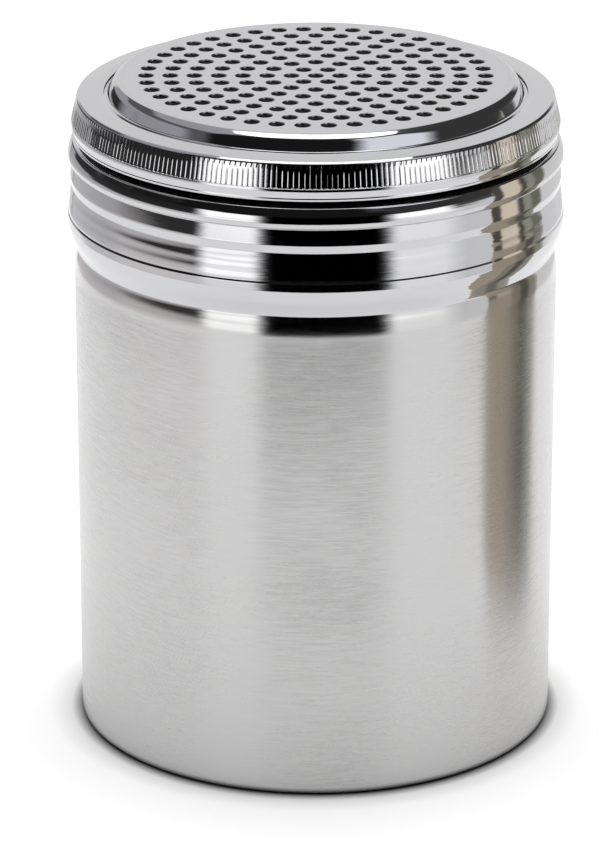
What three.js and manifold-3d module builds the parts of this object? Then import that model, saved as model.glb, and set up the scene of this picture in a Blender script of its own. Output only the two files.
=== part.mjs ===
// Sugar dredger: a drawn steel can, closed by a knurled screw ring that holds a perforated disc.
// Millimetres, +Z up, origin on the table below the middle of the can, front towards -Y.
import * as THREE from "three";
import { mergeVertices } from "three/addons/utils/BufferGeometryUtils.js";
import Module from "manifold-3d";

const wasm = await Module();
wasm.setup();

// Sheet and clearances
const canSheet = 0.5;
const discSheet = 0.5;
const ringSheet = 0.5;
const brimGap = 0.2; // round the disc's brim inside the ring
const discGap = 0.35; // between the disc's step and the edge of the ring's bore
const threadPlay = 0.15; // along the axis, between the two threads' flanks
const threadGap = 0.25; // across the axis, from a crest to the other wall

// Satin wall and base of the can. The radii further up are measured from this wall.
const bodyRadius = 34.15; // at the top of the straight wall
const bodyDraft = 0.15; // how much the wall narrows down to its foot
const bodyHeight = 71.2; // up to where the wall rounds over into the groove
const bodyEase = 3.2; // height over which the wall leans in before the groove
const bodyLean = 0.35; // how far it leans in
const bodyRound = 0.6;
const footRound = 1.5;
const panelInset = 7; // from the foot of the wall in to the raised panel of the base
const panelRise = 0.6; // the panel stands clear of the table
const panelSlope = 1.2;
const panelRound = 0.4;

// Polished top of the can, from the groove up
const grooveDepth = 1.0;
const grooveDrop = 0.45; // how far the wall rounds over before the groove
const grooveRound = 0.2;
const collarOut = 0.89; // how far the collar stands out of the wall
const collarFlare = 3.2; // height of the flare under the collar's edge
const edgeHeight = 0.5; // height of the collar's lower edge
const edgeDraw = 0.15; // how far that edge draws in downwards
const edgeRound = 0.3;
const bandFoot = 1; // height of the upright foot of the band above the edge
const bandFootDraw = 0.06;
const bandFootRound = 0.5;
const bandHeight = 4.8;
const bandLean = 0.6; // how far the band leans in over its height
const bandRound = 0.2;
const ribHeight = 3.0;
const ribCrest = 0.16; // how far the rib stands out of the top of the band
const ribCrestHeight = 1.2;
const ribDraw = 0.06; // how far its upper end lies inside the top of the band
const ribRound = 0.35;
const shoulderOut = 0.79;
const shoulderEdge = 0.3; // height of the shoulder's lower edge
const shoulderEdgeDraw = 0.14;
const shoulderCrestHeight = 1.85;
const shoulderCrestRound = 0.9;
const shoulderBendHeight = 3.4; // where the shoulder turns in towards the neck
const shoulderBendDraw = 0.59;
const shoulderBendRound = 0.8;
const shoulderHeight = 4.2; // up to the neck
const neckInset = 1.75;
const neckRound = 0.3;
const neckHeight = 4.25;

// Thread, right-handed
const threadPitch = 2;
const threadDepth = 0.6;
const threadBase = 1;
const threadCrest = 0.4;
const neckTurns = 1.3;
const ringTurns = 1;
const threadFromRim = 0.4; // from the neck's rim to the end of its thread
const threadFromHem = 0.2; // from the ring's lower edge to the start of its thread

// Knurled ring
const ringWall = 0.35; // from the inside over the thread out to the ring's top edge
const ringSpread = 0.8; // how much wider the bead is than the top edge
const ringHeight = 5.05;
const beadHeight = 1.55; // plain bead below the flutes
const hemDraw = 0.2; // how far the bead draws in at the lower edge
const fluteCount = 280;
const fluteDepth = 0.22;
const fluteTopMargin = 0.25;
const fluteInset = 0.1; // from the edges above and below the flutes in to their crests
const ringDraw = 0.25; // how far the ring's inside draws in above its thread

// Perforated disc
const stepHeight = 2.4; // from the ring's top to the disc's top
const stepInset = 3.85; // from the neck in to the edge of the disc's top
const stepLean = 0.75; // how far the step spreads down to its foot
const stepRound = 0.6;
const footFillet = 0.25;
const holeRadius = 1.1;
const holeMargin = 4.75; // from the edge of the disc's top in to the last ring of holes
const plateMargin = 1; // flat metal kept outside the last ring of holes
const holeRings = 7;
const holesInFirstRing = 6;
const holeSides = 6;

const segments = 48; // sides of every turned surface
const facetTurn = Math.PI / 6; // the most that an outline turns from one facet to the next
const outerReach = 0.2; // roundings shorter than this stay sharp outside
const innerReach = 0.8; // and shorter than this inside
const turn = 2 * Math.PI;
const overlap = 0.1; // how far a ridge starts inside the wall that it grows from
const weldReach = 1e-4; // points closer than this become one

// A point of a turned outline: radius, height, and how far from the corner the rounding starts.
function corner(radius, height, reach = 0) {
  return { radius, height, reach };
}

// The corners of an outline moved sideways by the sheet, with their roundings kept parallel.
function offsetCorners(corners, distance) {
  const directions = corners.slice(1).map((next, i) => {
    const here = corners[i];
    return new THREE.Vector2(next.radius - here.radius, next.height - here.height).normalize();
  });
  return corners.map((here, i) => {
    const before = directions[Math.max(i - 1, 0)];
    const after = directions[Math.min(i, directions.length - 1)];
    const bend = 1 + before.dot(after);
    const moveRadius = (-(before.y + after.y) / bend) * distance;
    const moveHeight = ((before.x + after.x) / bend) * distance;
    const tangent = before.cross(after) / bend;
    const reach = Math.max(here.reach - distance * tangent, 0);
    return corner(here.radius + moveRadius, here.height + moveHeight, here.reach > 0 ? reach : 0);
  });
}

// The outline as points, with a curve at each corner whose rounding is at least leastReach.
function roundedPoints(corners, leastReach = outerReach) {
  const points = [];
  corners.forEach((here, i) => {
    const at = new THREE.Vector2(here.radius, here.height);
    const isEnd = i === 0 || i === corners.length - 1;
    if (isEnd || here.reach < leastReach) {
      points.push(at);
      return;
    }
    const [before, after] = [corners[i - 1], corners[i + 1]].map((other) =>
      new THREE.Vector2(other.radius - here.radius, other.height - here.height)
        .setLength(here.reach)
        .add(at),
    );
    const bend = Math.PI - before.clone().sub(at).angleTo(after.clone().sub(at));
    const curve = new THREE.QuadraticBezierCurve(before, at, after);
    points.push(...curve.getPoints(Math.ceil(bend / facetTurn)));
  });
  return points;
}

// A turned solid from a closed outline that runs with the material on its left.
function turned(points) {
  const closed = [...points];
  if (points[0].x > 0 || points.at(-1).x > 0) closed.push(points[0].clone());
  const geometry = new THREE.LatheGeometry(closed, segments);
  geometry.rotateX(Math.PI / 2);
  return solid(geometry);
}

function solid(geometry) {
  const bare = geometry.index ? geometry.toNonIndexed() : geometry.clone();
  bare.deleteAttribute("normal");
  bare.deleteAttribute("uv");
  const merged = mergeVertices(bare, weldReach);
  return new wasm.Manifold(
    new wasm.Mesh({
      numProp: 3,
      vertProperties: merged.attributes.position.array,
      triVerts: new Uint32Array(merged.index.array),
    }),
  );
}

function mesh(name, made, colour, roughness) {
  const { vertProperties, triVerts } = made.getMesh();
  const geometry = new THREE.BufferGeometry();
  geometry.setAttribute("position", new THREE.BufferAttribute(vertProperties, 3));
  geometry.setIndex(new THREE.BufferAttribute(triVerts, 1));
  geometry.computeVertexNormals();
  const steel = new THREE.MeshStandardMaterial({ color: colour, roughness, metalness: 1 });
  const part = new THREE.Mesh(geometry, steel);
  part.name = name;
  return part;
}

function circlePoints(radius, count, centreX = 0, centreY = 0) {
  return Array.from({ length: count }, (_, i) => {
    const angle = (turn * i) / count;
    return new THREE.Vector2(
      centreX + radius * Math.cos(angle),
      centreY + radius * Math.sin(angle),
    );
  });
}

// A thread ridge: a trapezium carried along a right-handed helix.
// wallRadius is the surface it grows from, and outward is 1 on a neck and -1 in a ring.
function threadRidge({ wallRadius, outward, helixStart, startTurn, length }) {
  const steps = Math.round(length * segments);
  const rootRadius = wallRadius - outward * overlap;
  const crestRadius = wallRadius + outward * threadDepth;
  const rootHalf = threadBase / 2 + flankSlope * overlap;
  const crestHalf = threadCrest / 2;
  const section = [
    [rootRadius, -rootHalf],
    [crestRadius, -crestHalf],
    [crestRadius, crestHalf],
    [rootRadius, rootHalf],
  ];
  if (outward < 0) section.reverse();
  const positions = [];
  for (let i = 0; i <= steps; i++) {
    const turns = startTurn + i / segments;
    const [x, y] = [Math.cos(turn * turns), Math.sin(turn * turns)];
    const middle = helixStart + threadPitch * turns;
    for (const [radius, height] of section) positions.push(radius * x, radius * y, middle + height);
  }
  const sides = section.length;
  const index = [];
  for (let i = 0; i < steps; i++)
    for (let k = 0; k < sides; k++) {
      const a = i * sides + k;
      const b = i * sides + ((k + 1) % sides);
      index.push(a, b + sides, b, a, a + sides, b + sides);
    }
  const last = steps * sides;
  index.push(0, 1, 2, 0, 2, 3, last, last + 2, last + 1, last, last + 3, last + 2);
  const geometry = new THREE.BufferGeometry();
  geometry.setAttribute("position", new THREE.Float32BufferAttribute(positions, 3));
  geometry.setIndex(index);
  return solid(geometry);
}

// Radii and heights that follow from the sizes above
const footRadius = bodyRadius - bodyDraft;
const grooveRadius = bodyRadius - grooveDepth;
const collarRadius = bodyRadius + collarOut;
const bandTopRadius = collarRadius - bandLean;
const shoulderRadius = bodyRadius + shoulderOut;
const neckRadius = bodyRadius - neckInset;
const ringInnerRadius = neckRadius + threadDepth + threadGap;
const ringTopRadius = ringInnerRadius + ringWall;
const beadRadius = ringTopRadius + ringSpread;
const discTopRadius = neckRadius - stepInset;
const ringBoreRadius = discTopRadius + stepLean + discGap;
const brimRadius = ringInnerRadius - ringDraw - brimGap;
const grooveBottom = bodyHeight + grooveDrop;
const edgeBottom = grooveBottom + collarFlare;
const bandBottom = edgeBottom + edgeHeight;
const ribBottom = bandBottom + bandHeight;
const shoulderBottom = ribBottom + ribHeight;
const neckBottom = shoulderBottom + shoulderHeight;
const neckRim = neckBottom + neckHeight;
const brimTop = neckRim + discSheet;
const ringTop = brimTop + ringSheet;
const ringBottom = ringTop - ringHeight;
const discTop = ringTop + stepHeight;

// The neck's thread starts at the +X side. The ring's is the same helix, lowered until its upper
// flank all but touches the neck's lower one, and starts at the first facet clear of the hem.
// The two part when the ring has turned from its own start to the end of the neck's thread.
const flankSlope = (threadBase - threadCrest) / 2 / threadDepth;
const neckThreadTop = neckRim - threadFromRim;
const neckHelixStart = neckThreadTop - threadBase / 2 - neckTurns * threadPitch;
const threadDrop = threadBase - flankSlope * (threadDepth + threadGap) + threadPlay;
const ringHelixStart = neckHelixStart - threadDrop;
const ringThreadStart = ringBottom + threadFromHem + threadBase / 2;
const ringStartTurn =
  Math.ceil(((ringThreadStart - ringHelixStart) / threadPitch) * segments) / segments;

// The can: one sheet from the middle of its base to the rim of its neck.
function canSolid() {
  const panelRadius = footRadius - panelInset;
  const outside = [
    corner(0, panelRise),
    corner(panelRadius, panelRise, panelRound),
    corner(panelRadius + panelSlope, 0, panelRound),
    corner(footRadius, 0, footRound),
    corner(bodyRadius, bodyHeight - bodyEase, bodyEase / 2),
    corner(bodyRadius - bodyLean, bodyHeight, bodyRound),
    corner(grooveRadius, grooveBottom, grooveRound),
    corner(collarRadius - edgeDraw, edgeBottom, edgeRound),
    corner(collarRadius, bandBottom, edgeRound),
    corner(collarRadius - bandFootDraw, bandBottom + bandFoot, bandFootRound),
    corner(bandTopRadius, ribBottom, bandRound),
    corner(bandTopRadius + ribCrest, ribBottom + ribCrestHeight, ribRound),
    corner(bandTopRadius - ribDraw, shoulderBottom),
    corner(shoulderRadius - shoulderEdgeDraw, shoulderBottom + shoulderEdge),
    corner(shoulderRadius, shoulderBottom + shoulderCrestHeight, shoulderCrestRound),
    corner(
      shoulderRadius - shoulderBendDraw,
      shoulderBottom + shoulderBendHeight,
      shoulderBendRound,
    ),
    corner(neckRadius, neckBottom, neckRound),
    corner(neckRadius, neckRim),
  ];
  const inside = offsetCorners(outside, canSheet);
  const shell = turned([
    ...roundedPoints(outside),
    ...roundedPoints(inside, innerReach).reverse(),
  ]);
  const thread = threadRidge({
    wallRadius: neckRadius,
    outward: 1,
    helixStart: neckHelixStart,
    startTurn: 0,
    length: neckTurns,
  });
  return shell.add(thread);
}

// The band of flutes: a toothed outline, drawn up from its foot and narrowed to its head.
// Each end has its height, the radius of the crests, and the radius inside.
function fluteBand(foot, head) {
  const count = 2 * fluteCount;
  const teeth = circlePoints(foot.crest, count).map((point, i) =>
    point.setLength(foot.crest - (i % 2) * fluteDepth),
  );
  const outline = new THREE.Shape(teeth);
  outline.holes.push(new THREE.Path(circlePoints(foot.inside, segments)));
  const depth = head.height - foot.height;
  const geometry = new THREE.ExtrudeGeometry(outline, { depth, bevelEnabled: false });
  geometry.translate(0, 0, foot.height);
  const position = geometry.attributes.position;
  for (let i = 0; i < position.count; i++) {
    const point = new THREE.Vector2(position.getX(i), position.getY(i));
    const radius = point.length();
    const isInside = radius < foot.crest - 2 * fluteDepth;
    const isHead = position.getZ(i) > foot.height + depth / 2;
    const narrowing = isInside ? head.inside - foot.inside : head.crest - foot.crest;
    point.setLength(isHead ? radius + narrowing : radius);
    position.setXY(i, point.x, point.y);
  }
  return solid(geometry);
}

function ringSolid() {
  const foot = { height: ringBottom + beadHeight, crest: beadRadius - fluteInset };
  const head = { height: ringTop - fluteTopMargin, crest: ringTopRadius - fluteInset };
  const wallInset = fluteDepth + overlap / 2; // the wall under the flutes
  foot.wall = foot.crest - wallInset;
  head.wall = head.crest - wallInset;
  foot.inside = (foot.wall + ringInnerRadius) / 2;
  head.inside = (head.wall + ringInnerRadius - ringDraw) / 2;
  const outline = [
    corner(ringBoreRadius, brimTop),
    corner(ringInnerRadius - ringDraw, brimTop),
    corner(ringInnerRadius, neckThreadTop),
    corner(ringInnerRadius, ringBottom),
    corner(beadRadius - hemDraw, ringBottom),
    corner(beadRadius, foot.height),
    corner(foot.wall, foot.height),
    corner(head.wall, head.height),
    corner(ringTopRadius, head.height),
    corner(ringTopRadius, ringTop, fluteTopMargin),
    corner(ringBoreRadius, ringTop),
  ];
  const thread = threadRidge({
    wallRadius: ringInnerRadius,
    outward: -1,
    helixStart: ringHelixStart,
    startTurn: ringStartTurn,
    length: ringTurns,
  });
  return turned(roundedPoints(outline)).add(fluteBand(foot, head)).add(thread);
}

// The disc: a flat plate of holes on a stepped wall, with a brim that lies on the neck's rim.
function discSolid() {
  const lastHoleRing = discTopRadius - holeMargin;
  const plateRadius = lastHoleRing + holeRadius + plateMargin;
  const plate = new THREE.Shape(circlePoints(plateRadius + overlap, segments));
  plate.holes.push(new THREE.Path(circlePoints(holeRadius, holeSides)));
  for (let ring = 1; ring <= holeRings; ring++) {
    const centres = circlePoints((lastHoleRing * ring) / holeRings, holesInFirstRing * ring);
    for (const { x, y } of centres)
      plate.holes.push(new THREE.Path(circlePoints(holeRadius, holeSides, x, y)));
  }
  const plateGeometry = new THREE.ExtrudeGeometry(plate, { depth: discSheet, bevelEnabled: false });
  plateGeometry.translate(0, 0, discTop - discSheet);

  const outside = [
    corner(brimRadius, brimTop),
    corner(discTopRadius + stepLean, brimTop, footFillet),
    corner(discTopRadius, discTop, stepRound),
    corner(plateRadius, discTop),
  ];
  const inside = offsetCorners(outside, discSheet);
  const step = turned([
    ...roundedPoints(outside),
    ...roundedPoints(inside, innerReach).reverse(),
  ]);
  return step.add(solid(plateGeometry));
}

const can = mesh("can", canSolid(), 0xc6c7c9, 0.3);
const perforatedDisc = mesh("perforated_disc", discSolid(), 0xcdced0, 0.15);
const screwRing = mesh("screw_ring", ringSolid(), 0xcdced0, 0.1);

const dredger = new THREE.Group();
dredger.add(can, perforatedDisc, screwRing);

export default dredger;
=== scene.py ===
import math
import bpy
import numpy as np
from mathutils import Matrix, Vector
from mathutils.geometry import delaunay_2d_cdt


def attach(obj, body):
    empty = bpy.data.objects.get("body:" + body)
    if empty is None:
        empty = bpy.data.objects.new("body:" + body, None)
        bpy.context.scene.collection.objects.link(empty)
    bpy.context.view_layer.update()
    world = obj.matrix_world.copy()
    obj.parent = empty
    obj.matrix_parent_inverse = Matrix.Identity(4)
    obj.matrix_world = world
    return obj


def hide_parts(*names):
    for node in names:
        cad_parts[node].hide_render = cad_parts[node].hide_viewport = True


# Sugar dredger: satin can with a bright top, knurled screw ring, perforated disc.
# Sizes in the dictionaries are millimetres, the meshes are metres. Front faces -Y.

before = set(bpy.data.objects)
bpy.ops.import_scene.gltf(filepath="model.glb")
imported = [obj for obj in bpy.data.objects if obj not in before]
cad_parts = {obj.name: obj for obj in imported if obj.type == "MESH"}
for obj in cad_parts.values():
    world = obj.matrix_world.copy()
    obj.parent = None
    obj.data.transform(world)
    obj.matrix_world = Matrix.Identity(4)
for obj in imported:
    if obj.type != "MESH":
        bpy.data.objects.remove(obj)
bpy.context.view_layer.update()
print("frame loaded:", sorted(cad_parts))

mm = 0.001
turn = 2 * math.pi


# helpers


def linearColour(hexText):
    # each sRGB channel c becomes c / 12.92, or ((c + 0.055) / 1.055) to the power 2.4; alpha is 1
    channels = [int(hexText[i:i + 2], 16) / 255 for i in (1, 3, 5)]
    return [c / 12.92 if c <= 0.04045 else ((c + 0.055) / 1.055) ** 2.4 for c in channels] + [1.0]


def roundedOutline(corners, steps):
    # a corner is radius, height, reach; straight runs are joined by curves that start reach mm from it:
    # (1 - t)^2 * start + 2t(1 - t) * corner + t^2 * end; one guard point stands just outside each end of
    # a curve, so that shading stays flat on the straight runs
    guard = 0.02
    corners = np.array(corners, float)
    outline = [corners[0, :2]]
    t = np.linspace(0, 1, steps + 1)[:, None]
    for before, here, after in zip(corners[:-2], corners[1:-1], corners[2:]):
        point, reach = here[:2], here[2]
        if reach <= 0:
            outline.append(point)
            continue
        back, ahead = before[:2] - point, after[:2] - point
        back, ahead = back / np.linalg.norm(back), ahead / np.linalg.norm(ahead)
        start, end = point + back * reach, point + ahead * reach
        curve = (1 - t) ** 2 * start + 2 * t * (1 - t) * point + t ** 2 * end
        outline += [start + back * guard, *curve, end + ahead * guard]
    outline.append(corners[-1, :2])
    return np.array(outline)


def turnedPoints(outline, columns, radialShift=None):
    # point (row, column): radius and height from the outline's row, turned by turn * column / columns from
    # the front; radialShift(angle, height) is added to the radius
    angle = turn * np.arange(columns) / columns - math.pi / 2
    radius = np.repeat(outline[:, :1], columns, axis=1)
    height = np.repeat(outline[:, 1:], columns, axis=1)
    if radialShift is not None:
        radius = radius + radialShift(angle[None, :], height)
    return np.stack([radius * np.cos(angle), radius * np.sin(angle), height], axis=-1).reshape(-1, 3)


def gridFaces(rows, columns, start=0):
    # quads between each row and the next, and each column and the next, round to the first column again
    row, column = np.meshgrid(np.arange(rows - 1), np.arange(columns), indexing="ij")
    nextRow, nextColumn = row + 1, (column + 1) % columns
    quads = np.stack([row * columns + column, row * columns + nextColumn,
                      nextRow * columns + nextColumn, nextRow * columns + column], axis=-1)
    return quads.reshape(-1, 4) + start


def poleFaces(row, columns, pole, flip=False):
    # triangles from one point on the axis to every side of a row
    column = np.arange(columns)
    first = row * columns
    fan = np.column_stack([np.full(columns, pole), first + column, first + (column + 1) % columns])
    return fan[:, ::-1] if flip else fan


def meshPiece(name, points, faceGroups, materials, materialOf=None, flatGroups=()):
    # one mesh of points given in mm; every face group is an array of faces with equally many corners,
    # shaded smooth but for the groups whose numbers are in flatGroups
    corners = np.concatenate([group.reshape(-1) for group in faceGroups])
    sizes = np.concatenate([np.full(len(group), group.shape[1]) for group in faceGroups])
    starts = np.concatenate([[0], np.cumsum(sizes)[:-1]])
    mesh = bpy.data.meshes.new(name)
    mesh.vertices.add(len(points))
    mesh.vertices.foreach_set("co", (points * mm).astype(np.float32).ravel())
    mesh.loops.add(len(corners))
    mesh.loops.foreach_set("vertex_index", corners.astype(np.int32))
    mesh.polygons.add(len(sizes))
    mesh.polygons.foreach_set("loop_start", starts.astype(np.int32))
    smooth = np.concatenate([np.full(len(g), i not in flatGroups) for i, g in enumerate(faceGroups)])
    mesh.polygons.foreach_set("use_smooth", smooth)
    for material in materials:
        mesh.materials.append(material)
    if materialOf is not None:
        mesh.polygons.foreach_set("material_index", materialOf.astype(np.int32))
    mesh.update(calc_edges=True)
    if mesh.validate():
        print("faces were mended on", name)
    piece = bpy.data.objects.new(name, mesh)
    bpy.context.scene.collection.objects.link(piece)
    return piece


def addNode(tree, kind, settings=None, links=None):
    # one node with its settings; a link is input: (node, output), an input's value goes in settings by name
    node = tree.nodes.new(kind)
    for key, value in (settings or {}).items():
        if isinstance(key, str) and hasattr(node, key):
            setattr(node, key, value)
        else:
            node.inputs[key].default_value = value
    for key, (source, output) in (links or {}).items():
        tree.links.new(source.outputs[output], node.inputs[key])
    return node


def emptyMaterial(name):
    # a new material and its node tree, without any node
    material = bpy.data.materials.new(name)
    material.use_nodes = True
    material.node_tree.nodes.clear()
    return material, material.node_tree


def leaningNormal(tree, lines, lean):
    # normal + lean * (noise - 0.5) * (up x normal): every level mark leans a little to one side of its own,
    # so that the upright edge of a reflection breaks up into level streaks
    surface = addNode(tree, "ShaderNodeNewGeometry")
    noise = addNode(tree, "ShaderNodeTexNoise", {"Scale": 1.0, "Detail": 3.0, "Roughness": 0.7},
                    {"Vector": (lines, "Vector")})
    side = addNode(tree, "ShaderNodeVectorMath", {"operation": "CROSS_PRODUCT", 0: (0, 0, 1)},
                   {1: (surface, "Normal")})
    centred = addNode(tree, "ShaderNodeMath", {"operation": "SUBTRACT", 1: 0.5}, {0: (noise, "Fac")})
    amount = addNode(tree, "ShaderNodeMath", {"operation": "MULTIPLY", 1: lean}, {0: (centred, "Value")})
    shift = addNode(tree, "ShaderNodeVectorMath", {"operation": "SCALE"},
                    {0: (side, "Vector"), "Scale": (amount, "Value")})
    leaning = addNode(tree, "ShaderNodeVectorMath", {"operation": "ADD"},
                      {0: (surface, "Normal"), 1: (shift, "Vector")})
    return addNode(tree, "ShaderNodeVectorMath", {"operation": "NORMALIZE"}, {0: (leaning, "Vector")})


# materials

noiseLow, noiseHigh = 0.3, 0.7   # nearly all values of a noise texture lie between these

satinSettings = {
    "colour": "#CBCACA",
    "roughness": (0.2, 0.29),   # at a brush mark's bottom and on its edges
    "markRange": (0.35, 0.65),  # the noise values that stand for bottom and edge
    "fade": (66.5, 69.3),       # mm, the belt lifts off over these heights
    "fadeTo": 0.4,              # share of the roughness that is left above
    "anisotropic": 0.8,
    "anisotropicTurn": 0.25,    # of a full turn
    "lineLength": 3.6,          # mm, a brush mark along the wall
    "lineWidth": 0.16,          # mm, across; real marks are finer, drawn as wide as a pixel shows
    "lineStrength": 0.5,
    "lean": 0.05,               # how far a mark leans sideways
    "grainLength": 1.1,         # mm, the short scratches in the marks
    "grainWidth": 0.16,
    "grainStrength": 0.7,
    "depth": 0.0006,            # mm, of marks and scratches
    "cloud": 18.0,              # mm, a patch that is a little duller or brighter
    "cloudChange": 0.03,        # by how much its roughness differs
}


def levelMarks(tree, place, length, width):
    # object coordinates divided by length along the wall and by width up it, so that a noise of scale 1
    # turns into level marks of that size
    along, across = 1 / (length * mm), 1 / (width * mm)
    return addNode(tree, "ShaderNodeMapping", {"Scale": (along, along, across)},
                   {"Vector": (place, "Object")})


def satinRoughness(tree, place, brush):
    # (the brush noise mapped to the two roughnesses + the cloud noise mapped to -change..change) * fade,
    # where fade goes from 1 to fadeTo over the two heights
    settings = satinSettings
    cloud = addNode(tree, "ShaderNodeTexNoise", {"Scale": 1 / (settings["cloud"] * mm), "Detail": 2.0},
                    {"Vector": (place, "Object")})
    change = settings["cloudChange"]
    patches = addNode(tree, "ShaderNodeMapRange",
                      {"From Min": noiseLow, "From Max": noiseHigh, "To Min": -change, "To Max": change},
                      {"Value": (cloud, "Fac")})
    bottom, edge = settings["markRange"]
    marks = addNode(tree, "ShaderNodeMapRange",
                    {"From Min": bottom, "From Max": edge,
                     "To Min": settings["roughness"][0], "To Max": settings["roughness"][1]},
                    {"Value": (brush, "Fac")})
    cloudy = addNode(tree, "ShaderNodeMath", {"operation": "ADD"},
                     {0: (marks, "Result"), 1: (patches, "Result")})
    height = addNode(tree, "ShaderNodeSeparateXYZ", None, {"Vector": (place, "Object")})
    low, high = settings["fade"]
    fade = addNode(tree, "ShaderNodeMapRange",
                   {"From Min": low * mm, "From Max": high * mm,
                    "To Min": 1.0, "To Max": settings["fadeTo"]},
                   {"Value": (height, "Z")})
    return addNode(tree, "ShaderNodeMath", {"operation": "MULTIPLY"},
                   {0: (cloudy, "Value"), 1: (fade, "Result")})


def satinBrushedStainless():
    # 18/8 stainless steel, turned against an abrasive belt: grey metal that shows its surroundings a little
    # blurred, with fine level lines, short scratches that break the edge of a dark reflection, and cloudy
    # patches
    settings = satinSettings
    material, tree = emptyMaterial("satinBrushedStainless")
    place = addNode(tree, "ShaderNodeTexCoord")
    lines = levelMarks(tree, place, settings["lineLength"], settings["lineWidth"])
    brush = addNode(tree, "ShaderNodeTexNoise", {"Scale": 1.0, "Detail": 3.0, "Roughness": 0.6},
                    {"Vector": (lines, "Vector")})
    short = levelMarks(tree, place, settings["grainLength"], settings["grainWidth"])
    grain = addNode(tree, "ShaderNodeTexNoise", {"Scale": 1.0, "Detail": 2.0}, {"Vector": (short, "Vector")})
    rough = satinRoughness(tree, place, brush)
    leaning = leaningNormal(tree, lines, settings["lean"])
    depth = settings["depth"] * mm
    long = addNode(tree, "ShaderNodeBump", {"Strength": settings["lineStrength"], "Distance": depth},
                   {"Height": (brush, "Fac"), "Normal": (leaning, "Vector")})
    bump = addNode(tree, "ShaderNodeBump", {"Strength": settings["grainStrength"], "Distance": depth},
                   {"Height": (grain, "Fac"), "Normal": (long, "Normal")})
    steel = addNode(tree, "ShaderNodeBsdfPrincipled",
                    {"Base Color": linearColour(settings["colour"]), "Metallic": 1.0,
                     "Anisotropic": settings["anisotropic"],
                     "Anisotropic Rotation": settings["anisotropicTurn"]},
                    {"Roughness": (rough, "Value"), "Normal": (bump, "Normal")})
    addNode(tree, "ShaderNodeOutputMaterial", links={"Surface": (steel, "BSDF")})
    return material


polishSettings = {
    "colour": "#CECED0",
    "roughness": 0.05,
    "waveWidth": 5.0,     # mm, slow unevenness left by the spinning tool
    "waveDepth": 0.003,   # mm
    "lineLength": 2.5,    # mm, turning marks
    "lineWidth": 0.17,
    "lineDepth": 0.0012,
    "lean": 0.05,         # how far a mark leans sideways
}


def mirrorPolishedStainless():
    # the same steel, buffed after spinning: a near mirror, with faint level turning marks and slow waves
    settings = polishSettings
    material, tree = emptyMaterial("mirrorPolishedStainless")
    place = addNode(tree, "ShaderNodeTexCoord")
    lines = levelMarks(tree, place, settings["lineLength"], settings["lineWidth"])
    marks = addNode(tree, "ShaderNodeTexNoise", {"Scale": 1.0, "Detail": 2.0}, {"Vector": (lines, "Vector")})
    wave = addNode(tree, "ShaderNodeTexNoise", {"Scale": 1 / (settings["waveWidth"] * mm), "Detail": 1.0},
                   {"Vector": (place, "Object")})
    leaning = leaningNormal(tree, lines, settings["lean"])
    slow = addNode(tree, "ShaderNodeBump", {"Strength": 1.0, "Distance": settings["waveDepth"] * mm},
                   {"Height": (wave, "Fac"), "Normal": (leaning, "Vector")})
    fine = addNode(tree, "ShaderNodeBump", {"Strength": 1.0, "Distance": settings["lineDepth"] * mm},
                   {"Height": (marks, "Fac"), "Normal": (slow, "Normal")})
    steel = addNode(tree, "ShaderNodeBsdfPrincipled",
                    {"Base Color": linearColour(settings["colour"]), "Metallic": 1.0,
                     "Roughness": settings["roughness"]},
                    {"Normal": (fine, "Normal")})
    addNode(tree, "ShaderNodeOutputMaterial", links={"Surface": (steel, "BSDF")})
    return material


asRolledPaintedShadeSettings = {
    # painted shade: this grey is far darker than the steel itself, for the shadowed inside, underside and
    # hole walls
    "colour": "#4A4743",
    "roughness": (0.42, 0.54),
    "cloud": 2.0,         # mm, a patch of one roughness
}

groundSettings = {
    "colour": "#CECED0",
    "roughness": (0.4, 0.48),
    "cloud": 0.4,         # mm, drawn coarser than the grit's real marks, which don't show
}


def dullStainless(name, settings):
    # the same steel without polish. As rolled, inside and underneath, where no tool went after pressing, it
    # is given a dark grey, which is painted shade for these hollows. Ground with fine grit, on the flat
    # plate, it is light and shows no picture of the room
    material, tree = emptyMaterial(name)
    place = addNode(tree, "ShaderNodeTexCoord")
    cloud = addNode(tree, "ShaderNodeTexNoise", {"Scale": 1 / (settings["cloud"] * mm), "Detail": 3.0},
                    {"Vector": (place, "Object")})
    low, high = settings["roughness"]
    rough = addNode(tree, "ShaderNodeMapRange",
                    {"From Min": noiseLow, "From Max": noiseHigh, "To Min": low, "To Max": high},
                    {"Value": (cloud, "Fac")})
    steel = addNode(tree, "ShaderNodeBsdfPrincipled",
                    {"Base Color": linearColour(settings["colour"]), "Metallic": 1.0},
                    {"Roughness": (rough, "Result")})
    addNode(tree, "ShaderNodeOutputMaterial", links={"Surface": (steel, "BSDF")})
    return material


satinSteel = satinBrushedStainless()
polishedSteel = mirrorPolishedStainless()
# the as-rolled steel's dark grey is painted shade
dullPaintedShadeSteel = dullStainless("asRolledPaintedShadeStainless", asRolledPaintedShadeSettings)
groundSteel = dullStainless("fineGroundStainless", groundSettings)
print("materials made")

# can

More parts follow.
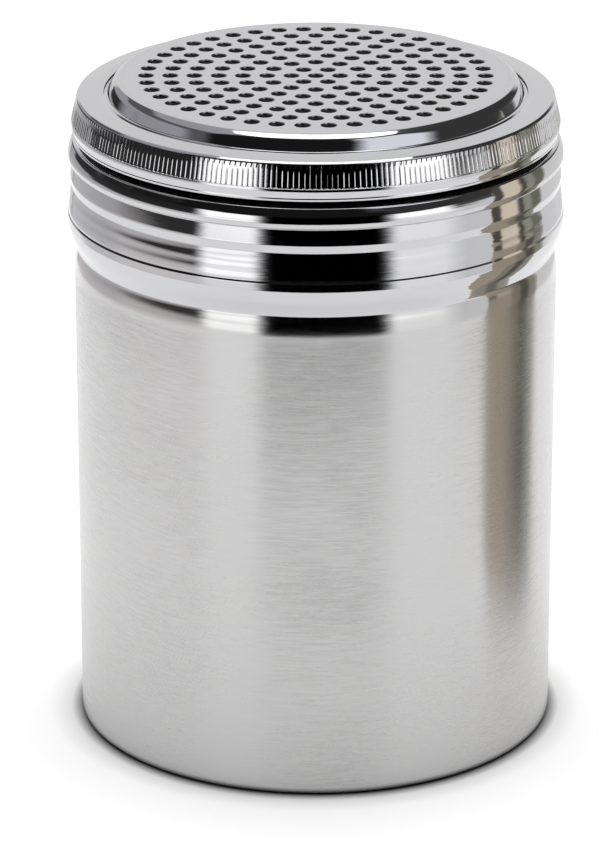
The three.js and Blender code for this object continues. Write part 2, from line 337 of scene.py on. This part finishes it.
can = {
    "outside": [  # radius, height, how far before the corner its rounding starts
        (27.0, 0.6, 0.4),
        (28.2, 0.0, 0.4),
        (34.0, 0.0, 1.1),
        (34.14, 68.35, 0.5),
        (33.98, 69.6, 0.4),
        (33.78, 70.6, 0.25),
        (33.74, 71.0, 0.2),
        (34.15, 71.95, 0.5),
        (34.62, 73.0, 0.5),
        (34.9, 74.0, 0.4),
        (35.045, 74.75, 0.08),
        (35.01, 75.85, 0.04),
        (34.895, 76.15, 0.04),
        (34.89, 76.5, 0.15),
        (34.84, 77.15, 0.3),
        (34.735, 77.9, 0.3),
        (34.67, 78.6, 0.3),
        (34.545, 79.35, 0.3),
        (34.46, 80.15, 0.2),
        (34.62, 81.25, 0.3),
        (34.31, 83.45, 0.05),
        (34.8, 83.78, 0.1),
        (34.89, 84.55, 0.4),
        (34.66, 85.5, 0.3),
        (34.3, 86.4, 0.15),
        (32.4, 87.3, 0.3),
        (32.4, 91.6, 0.12),
    ],
    "inside": [   # without the neck
        (27.2, 1.1, 0.4),
        (28.4, 0.5, 0.4),
        (33.5, 0.5, 0.7),
        (33.62, 68.2, 0.5),
        (33.1, 71.1, 0.3),
        (34.45, 74.6, 0.6),
        (34.5, 76.2, 0.5),
        (33.95, 80.1, 0.3),
        (34.1, 81.3, 0.4),
        (33.88, 83.6, 0.3),
        (34.3, 84.5, 0.3),
        (34.1, 85.5, 0.4),
        (33.7, 86.2, 0.3),
        (31.9, 86.9, 0.3),
    ],
    "panel": (0.6, 1.1),        # heights of the raised base panel's underside and upper side
    "neckRadius": 32.4,         # of the rows with the thread
    # the rim's inner edge: its sharp corner, two points on its rounding, the rounding's foot
    "rimRounding": [(31.9, 91.6, 0), (32.02, 91.6, 0), (31.93, 91.57, 0), (31.9, 91.45, 0)],
    "threadRows": (87.9, 91.3, 0.12),   # heights of the rows with the thread: first, end, step
    "threadStart": 88.1,        # height of the ridge's middle at the +X side
    "threadTurns": (0.0, 1.3),  # where the ridge starts, and its length
    "brightFrom": 70.75,        # height above which the outside is polished
    "dullPaintedShadeNeck": (32.6, 87.0),   # inside this radius and above this height it is as rolled, painted dark as shade under the ring
    "columns": 240,
}

thread = {
    "pitch": 2.0,
    "depth": 0.6,
    "base": 1.0,    # width of the ridge at its foot
    "crest": 0.4,   # and on its top
    "fade": 0.05,   # turns over which it rises and sinks at its two ends
}


def threadShape(angle, height, start, turns):
    # a ridge whose middle lies at start + pitch * along, where along counts turns from the +X side; across
    # it the rise is depth * (base / 2 - away) / ((base - crest) / 2), at most depth, faded at both ends
    first, length = turns
    halfSlope = (thread["base"] - thread["crest"]) / 2
    ridge = np.zeros(np.broadcast(angle, height).shape)
    for whole in range(-1, 3):
        along = (angle / turn) % 1 + whole
        away = np.abs(height - start - thread["pitch"] * along)
        slope = (thread["base"] / 2 - away) / halfSlope
        ends = np.clip(np.minimum(along - first, first + length - along) / thread["fade"], 0, 1)
        ridge = np.maximum(ridge, np.clip(slope, 0, 1) * ends)
    return ridge * thread["depth"]


def canOutline():
    # from the base panel's edge up the outside, over the rim and down the inside; gives also the number of
    # rows of the outside
    underside, upperSide = can["panel"]
    rim = can["rimRounding"]
    neckRows = [(can["neckRadius"], z, 0) for z in np.arange(*can["threadRows"])]
    outside = [(0.0, underside, 0)] + can["outside"][:-1] + neckRows + can["outside"][-1:] + rim[:1]
    inside = rim[-1:] + can["inside"][::-1] + [(0.0, upperSide, 0)]
    outer = roundedOutline(outside, steps=7)[1:-1]
    inner = roundedOutline(inside, steps=4)[:-1]
    return np.vstack([outer, np.array(rim)[1:-1, :2], inner]), len(outer)


def buildCan():
    # the outline turned about the axis, with the two middles of the base closed by fans; the neck's rows
    # carry the thread as a rise of the radius
    outline, outerRows = canOutline()
    columns = can["columns"]

    def neckThread(angle, height):
        ridge = threadShape(angle, height, can["threadStart"], can["threadTurns"])
        ridge[outerRows:] = 0
        return ridge

    points = turnedPoints(outline, columns, neckThread)
    underPole, upperPole = len(points), len(points) + 1
    points = np.vstack([points, *[[0, 0, height] for height in can["panel"]]])
    quads = gridFaces(len(outline), columns)
    fans = np.vstack([poleFaces(0, columns, underPole, flip=True),
                      poleFaces(len(outline) - 1, columns, upperPole)])

    # the dull places are as-rolled steel whose dark grey is painted shade, inside the can and on the neck
    # under the ring
    satin, bright, dullPaintedShade = range(3)   # places in the list of materials
    rowOf = np.repeat(np.arange(len(outline) - 1), columns)
    radius, height = outline[rowOf].T
    neckRadius, neckFoot = can["dullPaintedShadeNeck"]
    isDullPaintedShade = (rowOf >= outerRows) | (radius < neckRadius) & (height > neckFoot)
    ofQuads = np.where(isDullPaintedShade, dullPaintedShade, np.where(height > can["brightFrom"], bright, satin))
    materialOf = np.concatenate([ofQuads, np.full(len(fans), dullPaintedShade)])
    materials = [satinSteel, polishedSteel, dullPaintedShadeSteel]
    return meshPiece("dredgerCan", points, [quads, fans], materials, materialOf)


canPiece = buildCan()
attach(canPiece, "can")
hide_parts("can")
print("can built:", len(canPiece.data.polygons), "faces")

# screw ring

ring = {
    "top": [
        (33.6, 92.33, 0),
        (33.52, 92.5, 0.04),
        (33.2, 92.7, 0.06),
        (32.8, 92.78, 0.15),
        (30.6, 93.1, 0.3),
        (29.75, 92.97, 0.08),
    ],
    "insideTop": [
        (29.75, 92.8, 0.06),
        (33.0, 92.17, 0.1),
        (33.25, 91.0, 0.3),
    ],
    "hem": [
        (33.25, 87.45, 0.1),
        (34.2, 87.38, 0.12),
        (34.245, 87.72, 0.05),
        (34.21, 87.85, 0.03),
        (34.4, 88.9, 0.4),
        (34.34, 89.15, 0),
    ],
    "boreEdge": 92.79,       # height of the bore's upper edge, where the polished top ends
    "wallRadius": 33.25,     # inside, where the thread is
    "threadRows": (90.9, 87.7, -0.12),   # heights of the rows with the thread: first, end, step
    "threadStart": 87.375,   # height of the ridge's middle at the +X side
    "threadTurns": (0.4375, 1.0),        # where the ridge starts, and its length
    "flutes": 280,
    "bandEdges": ((34.34, 89.15), (33.6, 92.35)),   # radius and height of the band's foot and top
    "bandRows": [89.2, 89.35, 89.5, 91.0, 91.35, 91.65, 92.3],  # heights
    # where a flute's columns stand, in shares of its width from its middle
    "columnShares": [-0.5, -0.44, -0.37, -0.33, 0, 0.33, 0.37, 0.44],
    "landSag": 0.008,        # mm, how much a land between two grooves is crowned
    # mm, least, growth away from the front, most: the knurling tool ran out of true
    "grooveDepth": (0.034, 0.45, 0.2),
    "grooveShare": 0.26,     # of the pitch
    "depthSpread": 0.12,     # share by which a groove's depth varies at random
    "placeSpread": 0.04,     # share of the pitch by which a flute stands off its place
    "seed": 7,               # of both spreads
}


def fluteShape(share, height, depthOf):
    # land + depth * groove * sin(low * 90 degrees) * sin(high * 90 degrees): the land is nearly flat, the
    # groove rises evenly to 1 at share -0.5 and 0.5, as a vee does, low goes from 0 to 1 over the three
    # lowest rows and high from 1 to 0 over the next three, so that both edges of the band are plain
    rows = ring["bandRows"]
    edge = 0.5 - ring["grooveShare"] / 2
    away = np.abs(share)
    land = ring["landSag"] * (np.minimum(away, edge) / edge) ** 2
    groove = np.clip((away - edge) / (0.5 - edge), 0, 1)
    low = np.clip((height - rows[0]) / (rows[2] - rows[0]), 0, 1)
    high = np.clip((rows[5] - height) / (rows[5] - rows[3]), 0, 1)
    return land + depthOf * groove * np.sin(low * math.pi / 2) * np.sin(high * math.pi / 2)


def fluteColumns():
    # angle, share and groove depth of every column round the band; the depth is growth * the square of
    # sin(half its angle from the front), held between least and most, times a random factor; a flute is
    # also shifted at random, but for the column that it shares with the one before it
    flutes, spread = ring["flutes"], ring["depthSpread"]
    rng = np.random.default_rng(ring["seed"])
    least, growth, most = ring["grooveDepth"]
    depthOf = np.clip(growth * np.sin(math.pi * np.arange(flutes) / flutes) ** 2, least, most)
    depthOf = depthOf * rng.uniform(1 - spread, 1 + spread, flutes)
    shiftOf = rng.normal(0, ring["placeSpread"], flutes)
    shares = ring["columnShares"]
    flute = np.repeat(np.arange(flutes), len(shares))
    share = np.tile(shares, flutes)
    shift = np.where(share == shares[0], 0, shiftOf[flute])
    angle = turn * (flute + share + 0.5 + shift) / flutes - math.pi / 2
    return angle, share, depthOf[flute]


def knurledBand():
    # the band's radius goes evenly from its foot to its top, less the depth of the flute
    angle, share, depthOf = fluteColumns()
    heights = np.array(ring["bandRows"])
    (footRadius, foot), (topRadius, top) = ring["bandEdges"]
    slope = (topRadius - footRadius) / (top - foot)
    radius = footRadius + (heights - foot) * slope
    reach = radius[:, None] - fluteShape(share[None, :], heights[:, None], depthOf[None, :])
    return np.stack([reach * np.cos(angle), reach * np.sin(angle),
                     np.repeat(heights[:, None], len(angle), axis=1)], axis=-1).reshape(-1, 3)


def stitchedFaces(coarseFirst, fineFirst):
    # triangles between a row with one column a flute and a row of the band: the fine columns before a
    # flute's middle go to the coarse column before it, the others to the one after it
    flutes, fine = ring["flutes"], len(ring["columnShares"])
    middle = fine // 2
    k = np.arange(flutes)
    before, after = coarseFirst + k, coarseFirst + (k + 1) % flutes
    faces = [np.column_stack([before, after, fineFirst + k * fine + middle])]
    for j in range(fine):
        here = fineFirst + k * fine + j
        following = fineFirst + (k * fine + j + 1) % (flutes * fine)
        faces.append(np.column_stack([before if j < middle else after, following, here]))
    return np.vstack(faces)


def buildRing():
    # two turned strips, the fluted band and all the rest, joined at each edge of the band; the rest runs
    # from the band's top edge over the top, down the inside and up round the hem
    flutes, wallRadius = ring["flutes"], ring["wallRadius"]
    walls = [(wallRadius, z, 0) for z in np.arange(*ring["threadRows"])]
    coarse = roundedOutline(ring["top"] + ring["insideTop"] + walls + ring["hem"], steps=6)
    wallHair = 0.02   # rows this close to the wall's radius carry the thread

    def insideThread(angle, height):
        ridge = -threadShape(angle, height, ring["threadStart"], ring["threadTurns"])
        isWall = (np.abs(coarse[:, 0] - wallRadius) < wallHair)[:, None]
        return np.where(isWall, ridge, 0)

    points = turnedPoints(coarse, flutes, insideThread)
    band = knurledBand()
    start, rows = len(points), len(ring["bandRows"])
    fineColumns = len(band) // rows
    quads = gridFaces(len(coarse), flutes)
    bandQuads = gridFaces(rows, fineColumns, start)
    lower = stitchedFaces((len(coarse) - 1) * flutes, start)
    upper = stitchedFaces(0, start + (rows - 1) * fineColumns)[:, ::-1]

    # as rolled, dark grey as painted shade, from the bore's edge down to the lowest row, polished elsewhere
    rowOf = np.repeat(np.arange(len(coarse) - 1), flutes)
    lastOfTop = np.flatnonzero(coarse[:, 1] > ring["boreEdge"])[-1]
    isDullPaintedShade = (rowOf > lastOfTop) & (rowOf < np.argmin(coarse[:, 1]))
    outsideFaces = len(bandQuads) + len(lower) + len(upper)
    materialOf = np.concatenate([isDullPaintedShade.astype(int), np.zeros(outsideFaces, int)])
    return meshPiece("knurledRing", np.vstack([points, band]), [quads, bandQuads, lower, upper],
                     [polishedSteel, dullPaintedShadeSteel], materialOf)


ringPiece = buildRing()
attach(ringPiece, "ring")
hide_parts("screw_ring")
print("ring built:", len(ringPiece.data.polygons), "faces")

# perforated disc

disc = {
    "sheet": 0.5,
    "top": 95.0,
    "outside": [
        (32.8, 91.68, 0),
        (32.8, 92.1, 0.05),
        (29.2, 92.8, 0.15),
        (28.42, 94.35, 0.3),
        (27.65, 94.93, 0.35),
        (26.9, 95.0, 0.2),
        (26.4, 95.0, 0),
    ],
    "inside": [
        (26.4, 94.5, 0),
        (27.1, 94.5, 0.3),
        (27.7, 94.1, 0.3),
        (28.7, 92.3, 0.3),
        (29.6, 91.6, 0.2),
        (32.72, 91.6, 0),
    ],
    "groundFrom": 94.93,   # height above which the top is ground, not polished
    "holeRadius": 1.04,
    "holeRound": 0.13,     # mm, the punch draws the edge in
    "ringSpacing": 3.4,
    "rings": 7,
    "holeSides": 16,
    "columns": 256,
}


def holeCentres():
    # one hole in the middle, then rings of 6, 12, 18 and so on, evenly spread from the +X side
    centres = [np.zeros((1, 2))]
    for k in range(1, disc["rings"] + 1):
        angle = turn * np.arange(6 * k) / (6 * k)
        centres.append(k * disc["ringSpacing"] * np.column_stack([np.cos(angle), np.sin(angle)]))
    return np.vstack(centres)


def collarOutline():
    # radius and height down through a hole: the drawn-in edge, its middle, its foot, the wall's lower edge;
    # a quarter circle's middle lies (1 - cos(45 degrees)) of its radius from both its tangents, about 0.29
    radius, edge = disc["holeRadius"], disc["holeRound"]
    bend = 0.29 * edge
    top = disc["top"]
    return np.array([(radius + edge, top), (radius + bend, top - bend), (radius, top - edge),
                     (radius, top - disc["sheet"])])


def holeCollars(centres):
    # the collar turned about its own axis and set at every centre
    sides, collar = disc["holeSides"], collarOutline()
    around = turn * np.arange(sides) / sides
    one = np.stack([collar[:, :1] * np.cos(around), collar[:, :1] * np.sin(around),
                    np.repeat(collar[:, 1:], sides, axis=1)], axis=-1)
    shift = np.column_stack([centres, np.zeros(len(centres))])
    return (one[None] + shift[:, None, None, :]).reshape(-1, 3)


def flatFaces(points, rimIds, holeIds, centres, holeRadius):
    # the flat between the holes: triangles over the rim's circle and every hole's circle, but for those
    # whose middle lies in a hole or outside the rim
    columns, sides = len(rimIds), holeIds.shape[1]
    ids = np.concatenate([rimIds, holeIds.ravel()])
    flat = points[ids, :2]
    rimEdges = np.column_stack([np.arange(columns), (np.arange(columns) + 1) % columns])
    k = np.arange(sides)
    holeEdges = columns + (np.arange(len(centres))[:, None, None] * sides
                           + np.column_stack([k, (k + 1) % sides])[None]).reshape(-1, 2)
    edges = np.vstack([rimEdges, holeEdges])
    tolerance = 1e-6
    done = delaunay_2d_cdt([Vector(p) for p in flat], edges.tolist(), [], 0, tolerance)
    triangles = np.array(done[2])
    middle = flat[triangles].mean(1)
    away = np.linalg.norm(middle[:, None, :] - centres[None], axis=2).min(1)
    rimRadius = np.linalg.norm(flat[0])
    within = 0.98   # share of the radius, because the circles have straight sides
    isOutside = (away > holeRadius * within) & (np.linalg.norm(middle, axis=1) < rimRadius)
    return ids[triangles[isOutside]]


def buildDisc():
    # the stepped side is a turned strip, from the underside's flat out, up and back to the upper flat; both
    # flats are plain between the holes, and each hole is a collar
    columns, sides, centres = disc["columns"], disc["holeSides"], holeCentres()
    inner = roundedOutline(disc["inside"], steps=4)
    outer = roundedOutline(disc["outside"], steps=7)
    strip = np.vstack([inner, outer])
    side = turnedPoints(strip, columns)
    points = np.vstack([side, holeCollars(centres)])
    quads = gridFaces(len(strip), columns)

    rows = len(collarOutline())
    firstOf = len(side) + rows * sides * np.arange(len(centres))
    single = gridFaces(rows, sides)[:, ::-1]
    collarFaces = (single[None] + firstOf[:, None, None]).reshape(-1, 4)

    underRim = np.arange(columns)
    upperRim = (len(strip) - 1) * columns + np.arange(columns)
    upperEdge = firstOf[:, None] + np.arange(sides)
    lowerEdge = upperEdge + (rows - 1) * sides
    radius = disc["holeRadius"]
    upperFlat = flatFaces(points, upperRim, upperEdge, centres, radius + disc["holeRound"])
    lowerFlat = flatFaces(points, underRim, lowerEdge, centres, radius)[:, ::-1]

    # a collar's rounded edge is polished, its wall as rolled and painted dark grey as shade
    polished, dullPaintedShade, ground = range(3)   # places in the list of materials
    rowOf = np.repeat(np.arange(len(strip) - 1), columns)
    isGround = strip[rowOf, 1] > disc["groundFrom"]
    ofSide = np.where(rowOf < len(inner), dullPaintedShade, np.where(isGround, ground, polished))
    ofCollars = np.tile(np.repeat([polished, polished, dullPaintedShade], sides), len(centres))
    materialOf = np.concatenate([ofSide, ofCollars, np.full(len(upperFlat), ground),
                                 np.full(len(lowerFlat), dullPaintedShade)])
    return meshPiece("perforatedDisc", points, [quads, collarFaces, upperFlat, lowerFlat],
                     [polishedSteel, dullPaintedShadeSteel, groundSteel], materialOf, flatGroups=(2, 3))


discPiece = buildDisc()
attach(discPiece, "disc")
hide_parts("perforated_disc")
print("disc built:", len(discPiece.data.polygons), "faces")

# camera

view = {
    "distance": 680.0,
    "height": 295.2,
    "pitch": 20.38,        # degrees, downwards
    "yaw": 0.187,          # degrees, to the left
    "lens": 213.13,
    "sensor": 36.0,
    "clip": (0.01, 20.0),  # metres
}

cameraData = bpy.data.cameras.new("camera")
cameraData.lens = view["lens"]
cameraData.sensor_width = view["sensor"]
cameraData.sensor_fit = "AUTO"
cameraData.clip_start, cameraData.clip_end = view["clip"]
camera = bpy.data.objects.new("camera", cameraData)
camera.location = (0, -view["distance"] * mm, view["height"] * mm)
camera.rotation_euler = (math.radians(90 - view["pitch"]), 0, math.radians(view["yaw"]))
bpy.context.scene.collection.objects.link(camera)
bpy.context.scene.camera = camera
bpy.context.scene.view_settings.view_transform = "Standard"

# studio

studio = {
    "floor": "#F0F0F0",
    "floorReach": 3000.0,       # mm, from the middle to each side of the square
    "floorDrop": 0.02,          # below the foot of the can
    "cameraLift": 0.27,         # light added to the floor for the camera: the sweep goes to white
    "metalLift": 0.1,           # and as the metal sees it
    "liftFrom": (34.0, 39.0),   # mm from the axis, where the lift starts and where it is full; the darker ring short of it is painted shadow
    "shadeFrom": (33.4, 35.6),  # up to where the paper is painted black as contact shadow, and from where it is white
    "dim": 0.09,                # the room above the sheets of light, as the metal sees it
    "light": 0.68,              # the same room as it lights the floor
}

lamp = {"place": (0, 148, 700), "size": (760, 620), "radiance": 2.1}


def floorLift(tree, away):
    # (cameraLift * is camera ray + metalLift * is glossy ray) * fade, which goes from 0 to 1 over liftFrom;
    # short of it the floor round the can's foot stays darker, a painted shadow
    paths = addNode(tree, "ShaderNodeLightPath")
    forCamera = addNode(tree, "ShaderNodeMath", {"operation": "MULTIPLY", 1: studio["cameraLift"]},
                        {0: (paths, "Is Camera Ray")})
    forMetal = addNode(tree, "ShaderNodeMath", {"operation": "MULTIPLY", 1: studio["metalLift"]},
                       {0: (paths, "Is Glossy Ray")})
    both = addNode(tree, "ShaderNodeMath", {"operation": "ADD"},
                   {0: (forCamera, "Value"), 1: (forMetal, "Value")})
    near, far = studio["liftFrom"]
    fade = addNode(tree, "ShaderNodeMapRange", {"From Min": near * mm, "From Max": far * mm},
                   {"Value": (away, "Value")})
    return addNode(tree, "ShaderNodeMath", {"operation": "MULTIPLY"},
                   {0: (both, "Value"), 1: (fade, "Result")})


def floorMaterial():
    # matt white paper that keeps the soft shadow; under the can and in a narrow seam round its foot its
    # colour is black, a painted contact shadow
    material, tree = emptyMaterial("whitePaper")
    place = addNode(tree, "ShaderNodeTexCoord")
    away = addNode(tree, "ShaderNodeVectorMath", {"operation": "LENGTH"}, {0: (place, "Object")})
    near, far = studio["shadeFrom"]
    shade = addNode(tree, "ShaderNodeMapRange", {"From Min": near * mm, "From Max": far * mm},
                    {"Value": (away, "Value")})
    # painted contact shadow: the paper's colour is black near the foot and white further out
    paintedContactShadow, white = (0, 0, 0, 1), linearColour(studio["floor"])
    colour = addNode(tree, "ShaderNodeMix", {"data_type": "RGBA", 6: paintedContactShadow, 7: white}, {0: (shade, "Result")})
    paper = addNode(tree, "ShaderNodeBsdfDiffuse", None, {"Color": (colour, 2)})
    lift = floorLift(tree, away)
    glow = addNode(tree, "ShaderNodeEmission", {"Color": (1, 1, 1, 1)}, {"Strength": (lift, "Value")})
    lifted = addNode(tree, "ShaderNodeAddShader", None, {0: (paper, "BSDF"), 1: (glow, "Emission")})
    addNode(tree, "ShaderNodeOutputMaterial", links={"Surface": (lifted, "Shader")})
    return material


def buildFloor():
    # one flat square, a hair below the foot of the can
    reach, height = studio["floorReach"], -studio["floorDrop"]
    corners = [(-reach, -reach), (reach, -reach), (reach, reach), (-reach, reach)]
    points = np.array([(x, y, height) for x, y in corners])
    floor = meshPiece("floor", points, [np.array([[0, 1, 2, 3]])], [floorMaterial()])


def glowMaterial():
    # plain light in the colour that the sheet's points carry
    material, tree = emptyMaterial("softLight")
    level = addNode(tree, "ShaderNodeAttribute", {"attribute_name": "glow"})
    light = addNode(tree, "ShaderNodeEmission", {"Strength": 1.0}, {"Color": (level, "Color")})
    addNode(tree, "ShaderNodeOutputMaterial", links={"Surface": (light, "Emission")})
    return material


def sheetLight(sheet, azimuth, height):
    # every panel in turn covers what lies under it between its lowest and its highest row:
    # light = (1 - w) * light + w * level(height) * tint, where w rises as 3t^2 - 2t^3 over its soft edge
    light = np.full((len(height), len(azimuth), 3), float(sheet["base"]))
    for start, end, soft, rows, tint in sheet["panels"]:
        t = np.clip(np.minimum(azimuth - start, end - azimuth) / soft + 0.5, 0, 1)
        inside = (height >= rows[0][0]) & (height <= rows[-1][0])
        weight = inside[:, None, None] * (3 * t ** 2 - 2 * t ** 3)[None, :, None]
        level = np.interp(height, *np.array(rows, float).T)[:, None, None]
        light = (1 - weight) * light + weight * level * np.array(linearColour(tint)[:3])
    return light


def buildGlow(sheet):
    # an upright cylinder of light round a centre, seen only by the metal's reflections; azimuth counts in
    # degrees from the camera's side towards +X, and the light is kept on the points
    rowStep, hair = 2.5, 0.01   # mm between rows; the hair makes arange keep its last value
    azimuth = np.arange(sheet["azimuths"][0], sheet["azimuths"][1] + hair, sheet["step"])
    height = np.arange(0, sheet["top"] + hair, rowStep)
    light = sheetLight(sheet, azimuth, height)
    angle = np.radians(azimuth)
    across = np.column_stack([np.sin(angle), -np.cos(angle)]) * sheet["radius"] + sheet["centre"]
    points = np.column_stack([np.tile(across, (len(height), 1)), np.repeat(height, len(azimuth))])
    row, k = np.meshgrid(np.arange(len(height) - 1), np.arange(len(azimuth) - 1), indexing="ij")
    first = (row * len(azimuth) + k).reshape(-1, 1)
    quads = first + np.array([0, 1, 1 + len(azimuth), len(azimuth)])
    card = meshPiece(sheet["name"], points, [quads], [glowMaterial()])
    glow = card.data.attributes.new("glow", "FLOAT_COLOR", "POINT")
    colour = np.concatenate([light, np.ones(light.shape[:2] + (1,))], axis=2)
    glow.data.foreach_set("color", colour.astype(np.float32).ravel())
    card.visible_camera = False
    card.visible_diffuse = False
    card.visible_shadow = False
    card.visible_transmission = False


def buildWorld():
    # camera rays see white, the metal sees a dim room, and all else is lit by plain soft light
    world = bpy.data.worlds.new("studio")
    bpy.context.scene.world = world
    world.use_nodes = True
    tree = world.node_tree
    tree.nodes.clear()
    paths = addNode(tree, "ShaderNodeLightPath")
    dim = addNode(tree, "ShaderNodeBackground", {"Color": (1, 1, 1, 1), "Strength": studio["dim"]})
    soft = addNode(tree, "ShaderNodeBackground", {"Color": (1, 1, 1, 1), "Strength": studio["light"]})
    white = addNode(tree, "ShaderNodeBackground", {"Color": (1, 1, 1, 1), "Strength": 1.0})
    first = addNode(tree, "ShaderNodeMixShader", None,
                    {0: (paths, "Is Glossy Ray"), 1: (soft, "Background"), 2: (dim, "Background")})
    second = addNode(tree, "ShaderNodeMixShader", None,
                     {0: (paths, "Is Camera Ray"), 1: (first, "Shader"), 2: (white, "Background")})
    addNode(tree, "ShaderNodeOutputWorld", links={"Surface": (second, "Shader")})


def buildLamp():
    # a level rectangle that looks straight down; its power is radiance times area times pi
    width, depth = (side * mm for side in lamp["size"])
    data = bpy.data.lights.new("overhead", "AREA")
    data.shape = "RECTANGLE"
    data.size, data.size_y = width, depth
    data.energy = lamp["radiance"] * math.pi * width * depth
    overhead = bpy.data.objects.new("overhead", data)
    overhead.location = [v * mm for v in lamp["place"]]
    bpy.context.scene.collection.objects.link(overhead)


# the room round the table; a panel is azimuth from, to, soft edge, rows of height and light, tint
room = {
    "name": "roomAround",
    "centre": (0, 0),
    "radius": 262.0,
    "azimuths": (-150, 210),   # degrees
    "step": 1.0,
    "top": 700.0,
    "base": 0.09,              # light where there is no panel
    "panels": [
        # table and dark room behind it on the left, with a pale ceiling over it
        (-153, -88, 20,
         [(0, 0.76), (30, 0.62), (45, 0.52), (60, 0.48), (66, 0.05), (150, 0.015), (186, 0.02)],
         "#FAF8FA"),
        (-98, -46, 14,
         [(0, 0.88), (28, 0.8), (42, 0.62), (52, 0.34), (60, 0.04), (150, 0.015), (186, 0.02)],
         "#F8F4F4"),
        (-153, -62, 6,
         [(166, 0.02), (174, 0.46), (200, 0.46), (210, 0.14), (290, 0.14), (310, 0.46), (700, 0.5)],
         "#F4F2FA"),
        (-153, -92, 12, [(134, 0.05), (148, 0.44), (174, 0.46)], "#F4F2FA"),
        (-153, -112, 12, [(104, 0.05), (124, 0.44), (174, 0.46)], "#F4F2FA"),
        # table and dark room on the right
        (33, 70, 8, [(0, 0.93), (98, 0.93), (106, 0.1), (150, 0.04), (700, 0.04)], "#FFFFFF"),
        (66, 153, 10, [(0, 0.82), (96, 0.82), (106, 0.1), (150, 0.05), (500, 0.05), (700, 0.1)], "#FFFFFF"),
        # soft boxes on both sides of the camera, and the unlit wall between and above them
        (-62, 33, 8, [(134, 0.01), (700, 0.02)], "#FFFFFF"),
        (-50, -23, 8,
         [(0, 0.98), (14, 1.02), (26, 1.5), (50, 1.6), (56, 1.15), (68, 1.3), (78, 1.65), (128, 1.65),
          (133, 0.05)],
         "#FFFFFF"),
        (31, 60, 10, [(0, 1.06), (50, 1.12), (76, 1.18), (80, 1.65), (128, 1.65), (133, 0.05)], "#FFFFFF"),
        (26, 66, 12, [(190, 0.1), (215, 1.1), (440, 1.1), (480, 0.1)], "#F6F6FF"),
        (-23, 31, 12, [(0, 0), (134, 0.0)], "#FFFFFF"),
        # white sweep behind the can
        (150, 210, 8, [(0, 0.78), (100, 0.8), (200, 0.86), (480, 0.83), (700, 0.6)], "#FFFFFF"),
    ],
}

# a storage jar to the right of the can, whose reflection stands as a dull stripe in the wall
jar = {
    "name": "jarBeside",
    "centre": (112, 6),
    "radius": 34.0,
    "azimuths": (-180, 0),
    "step": 3.0,
    "top": 105.0,
    "base": 0.43,
    "panels": [
        # the white box or sugar in it
        (-200, -112, 14, [(0, 0.52), (65, 0.5)], "#F6F5EA"),
        (-118, -96, 8, [(0, 0.42), (65, 0.34)], "#F2F2DE"),
        (-98, -79, 8, [(0, 0.34), (20, 0.13), (65, 0.12)], "#FFF6E4"),
        (-81, -66, 6, [(0, 0.38), (20, 0.3), (65, 0.28)], "#FFF3E2"),
        (-68, -2, 6, [(0, 0.46), (65, 0.42)], "#FFEFD8"),
        # and over it the clear neck and the lid
        (-200, -118, 10, [(66, 0.55), (105, 0.5)], "#F6F5EA"),
        (-122, -90, 8, [(66, 0.24), (90, 0.2), (105, 0.16)], "#F0F2D8"),
        (-94, -78, 6, [(66, 0.42), (105, 0.36)], "#F2F2DE"),
        (-80, -70, 5, [(66, 0.1), (105, 0.1)], "#FFF6E4"),
        (-71, -41, 6, [(66, 0.6), (70, 0.9), (105, 0.85)], "#FFEFD8"),
        (-43, -13, 6, [(66, 0.1), (105, 0.1)], "#FFF3E2"),
        (-13, 2, 4, [(66, 0.6), (105, 0.5)], "#F4F4E0"),
    ],
}

buildFloor()
buildWorld()
buildGlow(room)
buildGlow(jar)
buildLamp()
print("studio set")
